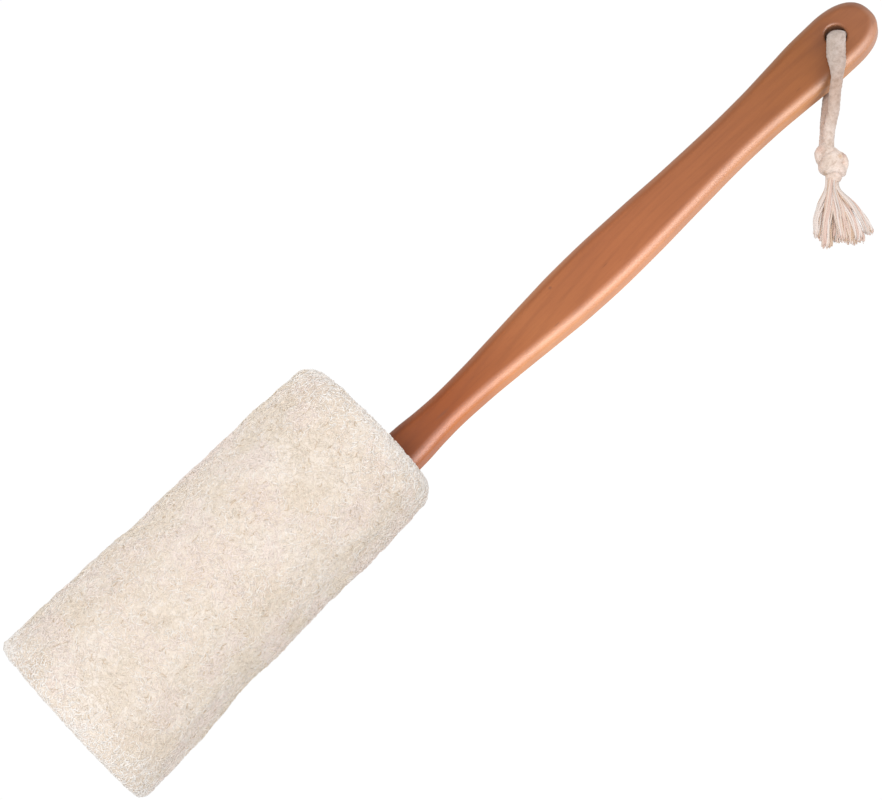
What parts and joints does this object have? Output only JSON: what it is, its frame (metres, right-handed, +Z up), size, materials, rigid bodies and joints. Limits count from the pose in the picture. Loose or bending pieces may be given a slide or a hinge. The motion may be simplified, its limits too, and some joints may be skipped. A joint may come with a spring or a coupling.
{
  "type": "loofah back scrubber",
  "caption": "Long-handled back scrubber: a cylindrical natural luffa pad on a flat waisted wooden handle with a knotted cotton hanging cord at its end.",
  "frame": {"origin": "middle of the footprint box of the handle and luffa pad, on the surface that the scrubber lies on", "axes": "+X from the luffa pad's free end to the handle's tip, +Z up from the surface, the handle's broad faces up and down"},
  "size_m": [0.4116, 0.1162, 0.0761],
  "materials": {
    "wood_lacquered": "reddish-brown stained wood under satin lacquer, faint grain",
    "luffa": "cream natural luffa, fine random fibre mat",
    "luffa_core": "straw-coloured inner fibre webs of the luffa",
    "glue": "hot-melt glue, satin",
    "cotton_cord": "soft undyed cotton cord, matt"
  },
  "bodies": {
    "scrubber": {"handle": "wood_lacquered", "luffa_outer_mat": "luffa", "luffa_core": "luffa_core", "tang_glue": "glue"},
    "hang_cord": {"cord_loop": "cotton_cord", "cord_knot": "cotton_cord", "tassel_yarn_1": "cotton_cord", "tassel_yarn_2": "cotton_cord", "tassel_yarn_3": "cotton_cord", "tassel_yarn_4": "cotton_cord", "tassel_yarn_5": "cotton_cord", "tassel_yarn_6": "cotton_cord", "tassel_yarn_7": "cotton_cord", "tassel_yarn_8": "cotton_cord"}
  },
  "joints": [
    {"name": "cord_swing", "type": "hinge", "parent": "scrubber", "child": "hang_cord", "pos_m": [0.18881, -0.01489, 0.01161], "axis": [0, 0, 1], "range_deg": [-4, 278]}
  ]
}
